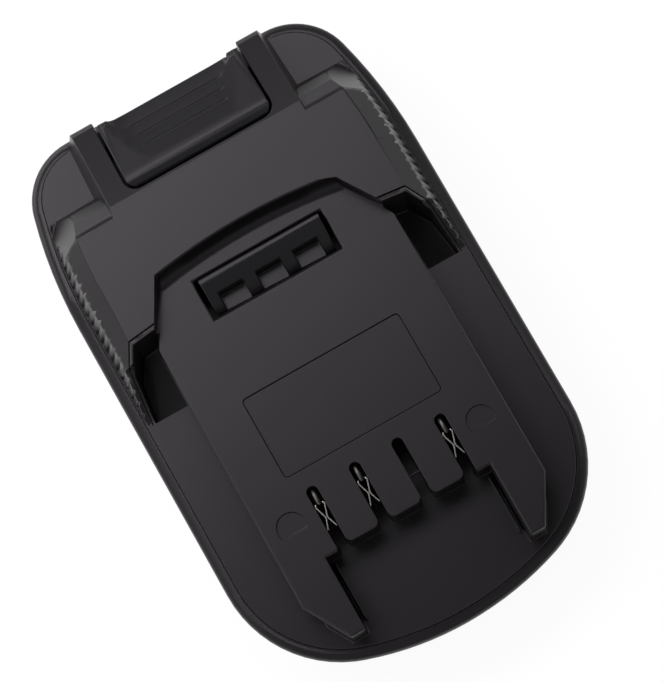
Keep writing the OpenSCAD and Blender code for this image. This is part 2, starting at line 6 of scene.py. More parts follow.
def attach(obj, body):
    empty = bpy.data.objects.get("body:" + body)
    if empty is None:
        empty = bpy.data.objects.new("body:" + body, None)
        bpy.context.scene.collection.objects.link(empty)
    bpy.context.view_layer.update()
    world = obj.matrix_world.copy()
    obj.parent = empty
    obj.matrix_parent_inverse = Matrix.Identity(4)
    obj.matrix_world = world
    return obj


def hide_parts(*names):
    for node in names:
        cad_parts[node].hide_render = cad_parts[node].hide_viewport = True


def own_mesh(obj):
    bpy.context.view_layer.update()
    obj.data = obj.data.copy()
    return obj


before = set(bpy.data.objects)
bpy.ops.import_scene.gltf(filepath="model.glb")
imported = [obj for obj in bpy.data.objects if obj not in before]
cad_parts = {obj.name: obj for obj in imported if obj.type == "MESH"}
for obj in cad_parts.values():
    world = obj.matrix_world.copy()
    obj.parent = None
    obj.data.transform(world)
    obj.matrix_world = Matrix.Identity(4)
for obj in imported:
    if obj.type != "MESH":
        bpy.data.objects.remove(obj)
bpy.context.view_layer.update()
scene = bpy.context.scene
scene.view_settings.view_transform = "Standard"
mm = 0.001
white = (1, 1, 1, 1)
shadeSplit = math.radians(38)  # faces that meet more steeply than this shade apart
print("frame loaded:", len(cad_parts), "nodes")


def linearColour(hexText):  # sRGB hex to linear RGBA
    parts = [int(hexText[k:k + 2], 16) / 255 for k in (1, 3, 5)]
    return tuple(c / 12.92 if c <= 0.04045 else ((c + 0.055) / 1.055) ** 2.4 for c in parts) + (1.0,)


def addNode(tree, kind, settings=None, inputs=None):  # a node or a socket is linked, a plain value is set
    node = tree.nodes.new(kind)
    for name, value in (settings or {}).items():
        setattr(node, name, value)
    for name, value in (inputs or {}).items():
        source = value.outputs[0] if isinstance(value, bpy.types.Node) else value
        if isinstance(source, bpy.types.NodeSocket):
            tree.links.new(source, node.inputs[name])
        else:
            node.inputs[name].default_value = source
    return node


# camera above the terminal end, a little to the left, turned about 30 degrees
viewPoint = {
    "place": (-12.303, -106.937, 615.333),  # mm
    "right": (0.869709, -0.489357, -0.064305),
    "up": (0.492840, 0.853979, 0.166818),
    "lens": 168.538, "sensor": 36.0,
    "clip": (0.01, 20),  # m
}


def addCamera(s):
    data = bpy.data.cameras.new("photoCamera")
    data.sensor_fit = "HORIZONTAL"
    data.sensor_width = s["sensor"]
    data.lens = s["lens"]
    data.clip_start, data.clip_end = s["clip"]
    camera = bpy.data.objects.new("photoCamera", data)
    scene.collection.objects.link(camera)
    right, up = Vector(s["right"]).normalized(), Vector(s["up"]).normalized()
    back = right.cross(up).normalized()
    up = back.cross(right)
    turn = Matrix((right, up, back)).transposed().to_4x4()
    camera.matrix_world = Matrix.Translation(Vector(s["place"]) * mm) @ turn
    scene.camera = camera


addCamera(viewPoint)
print("camera set")

# soft boxes round the object, a dim room, white paper below that keeps a faint shadow
studio = {
    "lamps": {  # place, width and depth in mm, power in watts
        "topStrip": ((-30, 155, 625), (260, 120), 0.28),
        "rearStrip": ((-60, 250, 600), (300, 120), 0.52),
        "rearLeft": ((-260, 190, 560), (220, 240), 0.80),
        "rearRight": ((200, 230, 570), (160, 200), 0.40),
        "frontLeft": ((-230, -115, 590), (120, 120), 0.28),
        "frontFill": ((-60, -400, 460), (700, 520), 0.36),
        "lowRear": ((-60, 380, 560), (300, 120), 0.13),
        "rimRear": ((-260, 420, 140), (760, 240), 1.40),  # near the floor, for the rim behind
        "leftFill": ((-430, 0, 470), (250, 250), 0.30),
        "rightFill": ((430, 0, 470), (250, 250), 0.30),
    },
    "aim": (0, 0, 25),  # mm
    "roomLight": 0.02, "wallLight": 0.7, "wallTop": (0.5, 0.75),  # pale walls that fade to a dim ceiling
    "frontWall": 0.25, "frontArc": (-0.8, -0.3),  # the wall in front is dimmer
    "floorSize": 4000, "floorGap": 0.05,  # mm
    "paperTone": "#e6e6e6", "shadeTone": "#545454", "paperGlow": 0.93,
}


def addLamp(name, place, aim, size, power):
    data = bpy.data.lights.new(name, "AREA")
    data.shape = "RECTANGLE"
    data.size, data.size_y = size[0] * mm, size[1] * mm
    data.energy = power
    lamp = bpy.data.objects.new(name, data)
    scene.collection.objects.link(lamp)
    away = (Vector(place) - Vector(aim)).normalized()
    turn = away.to_track_quat("Z", "Y").to_matrix().to_4x4()
    lamp.matrix_world = Matrix.Translation(Vector(place) * mm) @ turn


def addRoom(s):
    world = bpy.data.worlds.new("dimRoom")
    scene.world = world
    world.use_nodes = True
    tree = world.node_tree
    tree.nodes.clear()
    way = addNode(tree, "ShaderNodeTexCoord").outputs["Generated"]
    way = addNode(tree, "ShaderNodeSeparateXYZ", inputs={0: way})
    side = addNode(tree, "ShaderNodeMapRange", {"clamp": True}, {
        "Value": way.outputs["Y"], "From Min": s["frontArc"][0], "From Max": s["frontArc"][1],
        "To Min": s["frontWall"], "To Max": s["wallLight"]})
    wall = addNode(tree, "ShaderNodeMapRange", {"clamp": True}, {
        "Value": way.outputs["Z"], "From Min": s["wallTop"][0], "From Max": s["wallTop"][1],
        "To Min": side, "To Max": s["roomLight"]})
    room = addNode(tree, "ShaderNodeBackground", inputs={"Color": white, "Strength": wall})
    blank = addNode(tree, "ShaderNodeBackground", inputs={"Color": white, "Strength": 1.0})
    seen = addNode(tree, "ShaderNodeLightPath").outputs["Is Camera Ray"]
    mix = addNode(tree, "ShaderNodeMixShader", inputs={0: seen, 1: room, 2: blank})
    addNode(tree, "ShaderNodeOutputWorld", inputs={0: mix})


def whitePaper(s):  # seamless paper: matte, no texture at this distance
    paper = bpy.data.materials.new("whitePaper")
    paper.use_nodes = True
    tree = paper.node_tree
    tree.nodes.clear()
    path = addNode(tree, "ShaderNodeLightPath")
    seen = path.outputs["Is Camera Ray"]
    for ray in ("Is Glossy Ray", "Is Transmission Ray"):
        seen = addNode(tree, "ShaderNodeMath", {"operation": "MAXIMUM"}, {0: seen, 1: path.outputs[ray]})
    plain = addNode(tree, "ShaderNodeBsdfDiffuse", inputs={"Color": linearColour(s["paperTone"])})
    thin = addNode(tree, "ShaderNodeBsdfDiffuse", inputs={"Color": linearColour(s["shadeTone"])})
    glow = addNode(tree, "ShaderNodeEmission", inputs={"Color": white, "Strength": s["paperGlow"]})
    lit = addNode(tree, "ShaderNodeAddShader", inputs={0: thin, 1: glow})
    mix = addNode(tree, "ShaderNodeMixShader", inputs={0: seen, 1: plain, 2: lit})
    below = addNode(tree, "ShaderNodeNewGeometry").outputs["Backfacing"]  # clear there, to show the underside
    clear = addNode(tree, "ShaderNodeBsdfTransparent")
    mix = addNode(tree, "ShaderNodeMixShader", inputs={0: below, 1: mix, 2: clear})
    addNode(tree, "ShaderNodeOutputMaterial", inputs={0: mix})
    return paper


def addFloor(s):
    half, low = s["floorSize"] / 2 * mm, -s["floorGap"] * mm
    corners = [(x * half, y * half, low) for x, y in ((-1, -1), (1, -1), (1, 1), (-1, 1))]
    mesh = bpy.data.meshes.new("paleFloor")
    mesh.from_pydata(corners, [], [(0, 1, 2, 3)])
    floor = bpy.data.objects.new("paleFloor", mesh)
    scene.collection.objects.link(floor)
    mesh.materials.append(whitePaper(s))


for lampName, (place, size, power) in studio["lamps"].items():
    addLamp(lampName, place, studio["aim"], size, power)
addRoom(studio)
addFloor(studio)
print("studio set")

mould = {"gritDetail": 3.0, "gritRoughness": 0.6, "flowDetail": 2.0, "glossSpread": 0.05,
         "sheen": (1.0, 0.94, 1.0, 1.0)}  # the sheen leans faintly to mauve
plating = {"detail": 2.0, "smoother": 0.06, "rougher": 0.08}


def newMaterial(name):
    material = bpy.data.materials.new(name)
    material.use_nodes = True
    material.node_tree.nodes.clear()
    return material, material.node_tree


def mouldedPlastic(name, s):  # moulded: the tool's spark-eroded skin gives a soft, slightly mottled sheen
    material, tree = newMaterial(name)
    place = addNode(tree, "ShaderNodeTexCoord").outputs["Object"]
    grit = addNode(tree, "ShaderNodeTexNoise", inputs={
        "Vector": place, "Scale": 1 / (s["gritSize"] * mm),
        "Detail": mould["gritDetail"], "Roughness": mould["gritRoughness"]})
    flow = addNode(tree, "ShaderNodeTexNoise", inputs={
        "Vector": place, "Scale": 1 / (s["flowSize"] * mm), "Detail": mould["flowDetail"]})
    tone = addNode(tree, "ShaderNodeMix", {"data_type": "RGBA"}, {
        "Factor": flow.outputs["Fac"], "A": linearColour(s["dark"]), "B": linearColour(s["light"])})
    gloss = addNode(tree, "ShaderNodeMapRange", inputs={
        "Value": grit.outputs["Fac"],
        "To Min": s["roughness"] - mould["glossSpread"], "To Max": s["roughness"] + mould["glossSpread"]})
    bump = addNode(tree, "ShaderNodeBump", inputs={
        "Height": grit.outputs["Fac"], "Distance": s["gritHeight"] * mm, "Strength": 1.0})
    shader = addNode(tree, "ShaderNodeBsdfPrincipled", inputs={
        "Base Color": tone.outputs["Result"], "Roughness": gloss, "Normal": bump,
        "IOR": s["ior"], "Specular Tint": mould["sheen"]})
    addNode(tree, "ShaderNodeOutputMaterial", inputs={0: shader})
    return material


def platedMetal(name, s):  # plated: fine drawing lines along the strip, bright where it faces the light
    material, tree = newMaterial(name)
    place = addNode(tree, "ShaderNodeTexCoord").outputs["Object"]
    stretch = addNode(tree, "ShaderNodeMapping", inputs={"Vector": place, "Scale": s["stretch"]})
    lines = addNode(tree, "ShaderNodeTexNoise", inputs={
        "Vector": stretch, "Scale": 1 / (s["lineSize"] * mm), "Detail": plating["detail"]}).outputs["Fac"]
    gloss = addNode(tree, "ShaderNodeMapRange", inputs={
        "Value": lines,
        "To Min": s["roughness"] - plating["smoother"], "To Max": s["roughness"] + plating["rougher"]})
    bump = addNode(tree, "ShaderNodeBump", inputs={
        "Height": lines, "Distance": s["lineHeight"] * mm, "Strength": 1.0})
    tone = addNode(tree, "ShaderNodeMix", {"data_type": "RGBA"}, {
        "Factor": lines, "A": linearColour(s["dark"]), "B": linearColour(s["light"])})
    shader = addNode(tree, "ShaderNodeBsdfPrincipled", inputs={
        "Base Color": tone.outputs["Result"], "Roughness": gloss, "Normal": bump, "Metallic": 1.0})
    addNode(tree, "ShaderNodeOutputMaterial", inputs={0: shader})
    return material


# sizes in mm: grit is the skin's grain and flow the slow change of tone across a moulding
housingAbs = mouldedPlastic("mouldedHousingAbs", {  # fine grain, satin black
    "dark": "#161416", "light": "#191719", "gritSize": 0.35, "gritHeight": 0.008, "flowSize": 22,
    "roughness": 0.30, "ior": 1.35})
latchAbs = mouldedPlastic("polishedLatchAbs", {  # smoother than the shells, worn by the thumb
    "dark": "#151416", "light": "#181719", "gritSize": 0.6, "gritHeight": 0.003, "flowSize": 15,
    "roughness": 0.33, "ior": 1.36})
carrierPlastic = mouldedPlastic("glassFilledNylon", {  # dull, from the fibres at its surface
    "dark": "#121213", "light": "#171718", "gritSize": 0.5, "gritHeight": 0.01, "flowSize": 9,
    "roughness": 0.6, "ior": 1.53})
blockPlastic = mouldedPlastic("matteTerminalNylon", {  # matte dark grey
    "dark": "#19191a", "light": "#202021", "gritSize": 0.5, "gritHeight": 0.01, "flowSize": 9,
    "roughness": 0.5, "ior": 1.53})
labelFilm = mouldedPlastic("satinLabelFilm", {  # rolled film, evener than the deck round it
    "dark": "#161416", "light": "#191719", "gritSize": 0.9, "gritHeight": 0.002, "flowSize": 30,
    "roughness": 0.31, "ior": 1.34})
redPvc = mouldedPlastic("redWirePvc", {  # drawn insulation, a soft shine
    "dark": "#8e1f1b", "light": "#a3261f", "gritSize": 0.7, "gritHeight": 0.004, "flowSize": 6,
    "roughness": 0.35, "ior": 1.52})
blackPvc = mouldedPlastic("blackWirePvc", {
    "dark": "#141415", "light": "#1a1a1c", "gritSize": 0.7, "gritHeight": 0.004, "flowSize": 6,
    "roughness": 0.35, "ior": 1.52})
redShrink = mouldedPlastic("redShrinkTube", {  # shrunk tube, duller than the wire
    "dark": "#6e1a17", "light": "#7d201c", "gritSize": 0.4, "gritHeight": 0.008, "flowSize": 4,
    "roughness": 0.5, "ior": 1.5})
blackShrink = mouldedPlastic("blackShrinkTube", {
    "dark": "#181819", "light": "#1e1e20", "gritSize": 0.4, "gritHeight": 0.008, "flowSize": 4,
    "roughness": 0.5, "ior": 1.5})
shadedNickelSheet = platedMetal("nickelContactSheet", {  # strip faces: a darker copy of the nickel, painted shade for the bridge down in its slot
    "dark": "#4b4a48", "light": "#6b6967", "lineSize": 0.3, "lineHeight": 0.003, "stretch": (1, 1, 0.12),
    "roughness": 0.34})
litNickelEdge = platedMetal("nickelCutEdge", {  # blanked edges: a lighter copy of the same nickel, a painted highlight where they face up
    "dark": "#6b6967", "light": "#7d7b79", "lineSize": 0.2, "lineHeight": 0.002, "stretch": (1, 1, 1),
    "roughness": 0.36})
nickelBlade = platedMetal("nickelBladeStrip", {  # warm bright strip, lines along the blade
    "dark": "#b1a78f", "light": "#cfc6b2", "lineSize": 0.3, "lineHeight": 0.003, "stretch": (1, 0.1, 1),
    "roughness": 0.26})
springSteel = platedMetal("drawnSpringSteel", {  # bright drawn wire
    "dark": "#9a9b9e", "light": "#bcbdc0", "lineSize": 0.25, "lineHeight": 0.002, "stretch": (1, 1, 1),
    "roughness": 0.28})
zincScrew = platedMetal("zincScrewSteel", {  # greyish zinc, slightly cloudy
    "dark": "#7d7f83", "light": "#a2a4a8", "lineSize": 0.4, "lineHeight": 0.004, "stretch": (1, 1, 1),
    "roughness": 0.34})
print("materials made")


def keepMesh(piece):  # applies what the modifiers make
    graph = bpy.context.evaluated_depsgraph_get()
    done = bpy.data.meshes.new_from_object(piece.evaluated_get(graph))
    piece.modifiers.clear()
    old = piece.data
    piece.data = done
    done.name = piece.name
    bpy.data.meshes.remove(old)


def newTree(name, sockets):  # node group with named inputs for its sizes
    tree = bpy.data.node_groups.new(name, "GeometryNodeTree")
    tree.interface.new_socket("Geometry", in_out="OUTPUT", socket_type="NodeSocketGeometry")
    for label, kind in sockets.items():
        tree.interface.new_socket(label, in_out="INPUT", socket_type="NodeSocket" + kind)
    return tree, addNode(tree, "NodeGroupInput").outputs


def closeTree(tree, geometry, material):  # every tree ends in plain faces with their material
    plain = addNode(tree, "GeometryNodeRealizeInstances", inputs={"Geometry": geometry})
    done = addNode(tree, "GeometryNodeSetMaterial", inputs={"Geometry": plain, "Material": material})
    addNode(tree, "NodeGroupOutput", inputs={"Geometry": done})
    return tree


def runTree(piece, tree, values):  # runs a tree on a piece and keeps what it makes
    change = piece.modifiers.new(tree.name, "NODES")
    change.node_group = tree
    for item in tree.interface.items_tree:
        if item.in_out == "INPUT" and item.name in values:
            change[item.identifier] = values[item.name]
    keepMesh(piece)


def growPiece(pieceName, tree, values, base=None):
    piece = bpy.data.objects.new(pieceName, base or bpy.data.meshes.new(pieceName))
    scene.collection.objects.link(piece)
    runTree(piece, tree, values)
    return piece


# how a CAD solid gets the small radii of a real moulding
softening = {
    "weld": 0.002, "sliver": 0.004,  # mm: points and slivers that are merged first
    "flatJoin": 0.6,  # degrees: faces that are flatter than this to each other are one
    "carryOn": -0.76,  # cosine at which one edge carries on from another
    "roomShare": 0.42, "footShare": 0.55,  # part of the free width that a radius takes at most
    "level": 0.02,  # mm
}


def edgeRuns(marked):  # joins marked edges that carry on in nearly one direction
    runOf = {edge: k for k, edge in enumerate(marked)}
    parent = list(range(len(marked)))

    def root(k):
        while parent[k] != k:
            k = parent[k]
        return k

    for vert in {v for edge in marked for v in edge.verts}:
        here = [edge for edge in vert.link_edges if edge in runOf]
        ways = [(edge.other_vert(vert).co - vert.co).normalized() for edge in here]
        for a in range(len(here)):
            straight = [(ways[a].dot(ways[b]), b) for b in range(len(here)) if b != a]
            if straight and min(straight)[0] < softening["carryOn"]:
                parent[root(runOf[here[a]])] = root(runOf[here[min(straight)[1]]])
    return {edge: root(k) for edge, k in runOf.items()}


def edgeRoom(edge, runOf, corners):  # distance to the nearest other outline on the two faces beside an edge
    ends = [np.array(v.co) for v in edge.verts]
    points = np.array([ends[0], (ends[0] + ends[1]) / 2, ends[1]])
    tiny = 1e-18  # keeps an edge without length from dividing by zero
    room = math.inf
    for face in edge.link_faces:
        if face not in corners:
            corners[face] = np.array([[v.co[:] for v in other.verts] for other in face.edges])
        keep = [k for k, other in enumerate(face.edges)
                if other is not edge and not set(other.verts) & set(edge.verts)
                and runOf.get(other, -1) != runOf[edge]]
        if keep:
            a, b = corners[face][keep, 0], corners[face][keep, 1]
            along = b - a
            share = np.einsum("pkj,kj->pk", points[:, None] - a, along)
            share = np.clip(share / np.maximum((along ** 2).sum(1), tiny), 0, 1)
            gaps = np.linalg.norm(points[:, None] - a - share[..., None] * along, axis=2)
            room = min(room, gaps.min())
    return room


def isCrease(edge, s):  # a real corner, or a slight fold between two broad faces
    turn = math.degrees(edge.calc_face_angle(0))
    low, high = s.get("seam", (0, 0))
    if edge.is_convex and all(low * mm < v.co.z < high * mm for v in edge.verts):
        return False  # the parting line closes tight, so its edges stay crisp
    broad = [face.calc_area() / max(other.calc_length() for other in face.edges) for face in edge.link_faces]
    return turn > s["sharp"] or turn > s["fold"] and min(broad) > s["broad"] * mm


def isFoot(edge, height):  # hollow corner at the foot of a step
    return not edge.is_convex and all(abs(v.co.z - height * mm) < softening["level"] * mm for v in edge.verts)


def broadness(face, mesh):
    corners = np.array([mesh.vertices[k].co for k in face.vertices])
    return face.area / max(np.linalg.norm(corners - np.roll(corners, 1, axis=0), axis=1))


def weighEdges(bm, weight, s, footHeight, footRadius):  # bevel weights, even along each run
    marked = [e for e in bm.edges if len(e.link_faces) == 2 and isCrease(e, s)]
    feet = {e for e in marked if isFoot(e, footHeight)}
    runOf, corners, radius = edgeRuns(marked), {}, {}
    for e in marked:
        most = footRadius if e in feet else s["radius"]
        share = softening["footShare"] if e in feet else softening["roomShare"]
        radius[e] = min(most * mm, share * edgeRoom(e, runOf, corners))
    marked = [e for e in marked if radius[e] > s["least"] * mm]
    for group in ([e for e in marked if e not in feet], [e for e in marked if e in feet]):
        runOf = edgeRuns(group)
        for run in set(runOf.values()):
            edges = [e for e in group if runOf[e] == run]
            if sum(e.calc_length() for e in edges) > s["shortest"] * mm:
                even = min(radius[e] for e in edges)
                for e in edges:
                    e[weight] = (radius[e] if e in feet else even) / (footRadius * mm)


def softCopy(nodeName, pieceName, material, body, s, cut=None):
    footHeight, footRadius = s.get("foot", (math.inf, s["radius"]))
    bm = bmesh.new()
    bm.from_mesh(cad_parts[nodeName].data)
    weight = bm.edges.layers.float.new("bevel_weight_edge")
    bmesh.ops.remove_doubles(bm, verts=bm.verts, dist=softening["weld"] * mm)
    bmesh.ops.dissolve_degenerate(bm, dist=softening["sliver"] * mm, edges=bm.edges)
    bmesh.ops.dissolve_limit(bm, angle_limit=math.radians(softening["flatJoin"]), verts=bm.verts,
                             edges=bm.edges, use_dissolve_boundaries=False)
    weighEdges(bm, weight, s, footHeight, footRadius)
    for face in bm.faces:
        face.smooth = True
    mesh = bpy.data.meshes.new(pieceName)
    bm.to_mesh(mesh)
    bm.free()
    piece = bpy.data.objects.new(pieceName, mesh)
    scene.collection.objects.link(piece)
    mesh.materials.clear()
    mesh.materials.append(material)
    bevel = piece.modifiers.new("edgeRadius", "BEVEL")
    bevel.limit_method = "WEIGHT"
    bevel.width = footRadius * mm
    bevel.segments = s["steps"]
    bevel.use_clamp_overlap = False
    bevel.loop_slide = False
    keepMesh(piece)
    if cut:
        runTree(piece, *cut)
    piece.data.set_sharp_from_angle(angle=shadeSplit)
    even = piece.modifiers.new("evenShade", "WEIGHTED_NORMAL")
    even.keep_sharp = True
    keepMesh(piece)
    shade = np.array([corner.vector for corner in piece.data.corner_normals])
    for face in piece.data.polygons:
        if broadness(face, piece.data) > s["flat"] * mm:  # broad flats stay flat to their rims
            shade[face.loop_start:face.loop_start + face.loop_total] = face.normal
    piece.data.normals_split_custom_set(shade)
    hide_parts(nodeName)
    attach(piece, body)
    print(pieceName, len(piece.data.polygons), "faces")
    return piece


def notchTree():  # V notches up the side walls, out through the shoulder as the moulding tool leaves them
    tree, size = newTree("wallNotches", {
        "Shell": "Geometry", "Count": "Int", "First": "Float", "Pitch": "Float", "Width": "Float",
        "Length": "Float", "Lift": "Float", "Lean": "Float", "Foot": "Float", "Arc Start": "Float",
        "Arc Radius": "Float", "Arc Middle": "Float", "Plastic": "Material"})
    start = addNode(tree, "ShaderNodeCombineXYZ", inputs={"Y": size["First"]})
    step = addNode(tree, "ShaderNodeCombineXYZ", inputs={"Y": size["Pitch"]})
    line = addNode(tree, "GeometryNodeMeshLine", {"mode": "OFFSET"}, {
        "Count": size["Count"], "Start Location": start, "Offset": step})
    along = addNode(tree, "ShaderNodeSeparateXYZ", inputs={0: addNode(tree, "GeometryNodeInputPosition")})
    along = along.outputs["Y"]
    past = addNode(tree, "ShaderNodeMath", {"operation": "SUBTRACT"}, {0: along, 1: size["Arc Start"]})
    past = addNode(tree, "ShaderNodeMath", {"operation": "MAXIMUM"}, {0: past, 1: 0.0})
    turn = addNode(tree, "ShaderNodeMath", {"operation": "DIVIDE"}, {0: past, 1: size["Arc Radius"]})
    turn = addNode(tree, "ShaderNodeMath", {"operation": "ARCSINE"}, {0: turn})
    reach = addNode(tree, "ShaderNodeMath", {"operation": "COSINE"}, {0: turn})
    across = addNode(tree, "ShaderNodeMath", {"operation": "MULTIPLY_ADD"}, {
        0: reach, 1: size["Arc Radius"], 2: size["Arc Middle"]})
    place = addNode(tree, "ShaderNodeCombineXYZ", inputs={"X": across, "Y": along, "Z": size["Foot"]})
    points = addNode(tree, "GeometryNodeSetPosition", inputs={"Geometry": line, "Position": place})
    block = addNode(tree, "ShaderNodeCombineXYZ", inputs={
        "X": size["Width"], "Y": size["Width"], "Z": size["Length"]})
    bar = addNode(tree, "GeometryNodeMeshCube", inputs={"Size": block})
    lift = addNode(tree, "ShaderNodeCombineXYZ", inputs={"Z": size["Lift"]})
    bar = addNode(tree, "GeometryNodeTransform", inputs={
        "Geometry": bar, "Translation": lift, "Rotation": (0, 0, math.radians(45))})
    lean = addNode(tree, "ShaderNodeCombineXYZ", inputs={"Y": size["Lean"]})
    lean = addNode(tree, "FunctionNodeEulerToRotation", inputs={0: lean})
    bar = addNode(tree, "GeometryNodeTransform", inputs={"Geometry": bar, "Rotation": lean})
    heading = addNode(tree, "ShaderNodeCombineXYZ", inputs={"Z": turn})
    heading = addNode(tree, "FunctionNodeEulerToRotation", inputs={0: heading})
    row = addNode(tree, "GeometryNodeInstanceOnPoints", inputs={
        "Points": points, "Instance": bar, "Rotation": heading})
    right = addNode(tree, "GeometryNodeRealizeInstances", inputs={"Geometry": row})
    left = addNode(tree, "GeometryNodeTransform", inputs={"Geometry": right, "Scale": (-1, 1, 1)})
    left = addNode(tree, "GeometryNodeFlipFaces", inputs={0: left})
    both = addNode(tree, "GeometryNodeJoinGeometry")
    for half in (right, left):
        tree.links.new(half.outputs[0], both.inputs[0])
    cut = addNode(tree, "GeometryNodeMeshBoolean", {"operation": "DIFFERENCE", "solver": "EXACT"}, {
        "Mesh 1": size["Shell"], "Mesh 2": both, "Hole Tolerant": True})
    return closeTree(tree, cut, size["Plastic"])


# side walls' notches, in mm and degrees; the path runs along the wall's foot, straight and then on an arc
knurl = {"first": 12.8, "count": 13, "pitch": 2.05, "depth": 0.62, "lift": 0.8, "length": 10.4, "tilt": 10.76,
         "halfWidth": 35.47, "foot": 23.5, "arcStart": 26.6, "arcRadius": 96.47}
knurlCut = notchTree(), {
    "Count": knurl["count"], "First": knurl["first"] * mm, "Pitch": knurl["pitch"] * mm,
    "Width": knurl["depth"] * math.sqrt(2) * mm, "Length": knurl["length"] * mm,  # a square bar on its edge
    "Lift": (knurl["lift"] + knurl["length"] / 2) * mm, "Lean": -math.radians(knurl["tilt"]),
    "Foot": knurl["foot"] * mm, "Arc Start": knurl["arcStart"] * mm, "Arc Radius": knurl["arcRadius"] * mm,
    "Arc Middle": (knurl["halfWidth"] - knurl["arcRadius"]) * mm, "Plastic": housingAbs}

# radius, least radius, shortest run, broad and flat widths and seam heights in mm, sharp and fold in degrees
shellEdges = {"radius": 0.45, "least": 0.1125, "steps": 3, "sharp": 30, "fold": 8, "broad": 4.6,
              "shortest": 1.2, "seam": (23.0, 23.6)}
upperEdges = dict(shellEdges, flat=2.6, foot=(33.0, 2.4))  # height and radius of the platform's fillet
lowerEdges = dict(shellEdges, flat=9)  # its curved skirt shades smoothly
latchEdges = {"radius": 0.35, "least": 0.1325, "steps": 3, "sharp": 30, "fold": 8, "broad": 4.6, "flat": 2.4,
              "shortest": 1.0}
smallEdges = {"radius": 0.12, "least": 0.03, "steps": 2, "sharp": 30, "fold": 8, "broad": 4.6, "flat": 3.9,
              "shortest": 0.4, "seam": (23.0, 23.6)}
sheetEdges = {"radius": 0.06, "least": 0.015, "steps": 2, "sharp": 35, "fold": 35, "broad": 4.6, "flat": 3.9,
              "shortest": 0.15}
softCopy("upper_housing", "upperShell", housingAbs, "housing", upperEdges, knurlCut)
softCopy("lower_housing", "lowerShell", housingAbs, "housing", lowerEdges)
softCopy("release_latch", "latchMoulding", latchAbs, "latch", latchEdges)
softCopy("contact_carrier", "contactCarrier", carrierPlastic, "housing", smallEdges)
softCopy("battery_terminal_block", "packTerminalBlock", blockPlastic, "housing", smallEdges)
softCopy("label_plate", "blankLabel", labelFilm, "housing", sheetEdges)
print("mouldings made")

hairpin = {"saddleFront": -28.2,  # mm: the bridge lies behind this line, the leaves in front of it
           "edgeOn": 0.7}  # a face that turns this far up or lengthwise is the strip's thickness and takes the painted highlight


def addContact(nodeName, pieceName, s):  # the cut edge shows on top of the leaves and at the bridge's ends; it gets the lighter copy as a painted highlight, the rest of the strip the darker copy as painted shade
    contact = softCopy(nodeName, pieceName, shadedNickelSheet, "housing", sheetEdges)
    contact.data.materials.append(litNickelEdge)
    for face in contact.data.polygons:
        onLeaf = face.center.y < s["saddleFront"] * mm
        face.material_index = int(abs(face.normal.z if onLeaf else face.normal.y) > s["edgeOn"])


addContact("contact_positive", "contactPlus", hairpin)
addContact("contact_negative", "contactMinus", hairpin)
addContact("contact_data", "contactData", hairpin)
softCopy("blade_positive", "bladePlus", nickelBlade, "housing", sheetEdges)
softCopy("blade_negative", "bladeMinus", nickelBlade, "housing", sheetEdges)
softCopy("positive_sleeve", "sleevePlus", redShrink, "housing", sheetEdges)
softCopy("negative_sleeve", "sleeveMinus", blackShrink, "housing", sheetEdges)
print("contacts, blades and sleeves made")


def coilTree():  # round wire wound on a cylinder, with one closed turn at each end
    tree, size = newTree("woundCoil", {
        "Place": "Vector", "Turns": "Float", "Turn Steps": "Float", "Outside": "Float", "Wire": "Float",
        "Height": "Float", "Sides": "Int", "Metal": "Material"})
    line = addNode(tree, "GeometryNodeCurvePrimitiveLine")
    steps = addNode(tree, "ShaderNodeMath", {"operation": "MULTIPLY_ADD"}, {
        0: size["Turns"], 1: size["Turn Steps"], 2: 1.0})
    path = addNode(tree, "GeometryNodeResampleCurve", inputs={"Curve": line, "Count": steps})
    along = addNode(tree, "GeometryNodeSplineParameter").outputs["Factor"]
    angle = addNode(tree, "ShaderNodeMath", {"operation": "MULTIPLY"}, {0: along, 1: size["Turns"]})
    angle = addNode(tree, "ShaderNodeMath", {"operation": "MULTIPLY"}, {0: angle, 1: 2 * math.pi})
    reach = addNode(tree, "ShaderNodeMath", {"operation": "SUBTRACT"}, {0: size["Outside"], 1: size["Wire"]})
    reach = addNode(tree, "ShaderNodeMath", {"operation": "MULTIPLY"}, {0: reach, 1: 0.5})
    half = addNode(tree, "ShaderNodeMath", {"operation": "MULTIPLY"}, {0: size["Wire"], 1: 0.5})
    oneTurn = addNode(tree, "ShaderNodeMath", {"operation": "DIVIDE"}, {0: 1.0, 1: size["Turns"]})
    lastTurn = addNode(tree, "ShaderNodeMath", {"operation": "SUBTRACT"}, {0: 1.0, 1: oneTurn})
    openRise = addNode(tree, "ShaderNodeMath", {"operation": "MULTIPLY_ADD"}, {
        0: size["Wire"], 1: -3.0, 2: size["Height"]})  # two closed turns and half a wire at each end
    rise = half
    for start, end, step in ((0.0, oneTurn, size["Wire"]), (oneTurn, lastTurn, openRise),
                             (lastTurn, 1.0, size["Wire"])):
        part = addNode(tree, "ShaderNodeMapRange", {"clamp": True}, {
            "Value": along, "From Min": start, "From Max": end, "To Min": 0.0, "To Max": step})
        rise = addNode(tree, "ShaderNodeMath", {"operation": "ADD"}, {0: rise, 1: part})
    spot = addNode(tree, "ShaderNodeCombineXYZ", inputs={"Z": rise})
    for axis, operation in (("X", "COSINE"), ("Y", "SINE")):
        swing = addNode(tree, "ShaderNodeMath", {"operation": operation}, {0: angle})
        swing = addNode(tree, "ShaderNodeMath", {"operation": "MULTIPLY"}, {0: reach, 1: swing})
        tree.links.new(swing.outputs[0], spot.inputs[axis])
    wound = addNode(tree, "GeometryNodeSetPosition", inputs={
        "Geometry": path, "Position": spot, "Offset": size["Place"]})
    ring = addNode(tree, "GeometryNodeCurvePrimitiveCircle", {"mode": "RADIUS"}, {
        "Resolution": size["Sides"], "Radius": half})
    tube = addNode(tree, "GeometryNodeCurveToMesh", inputs={
        "Curve": wound, "Profile Curve": ring, "Fill Caps": True})
    smooth = addNode(tree, "GeometryNodeSetShadeSmooth", inputs={"Geometry": tube})
    return closeTree(tree, smooth, size["Metal"])


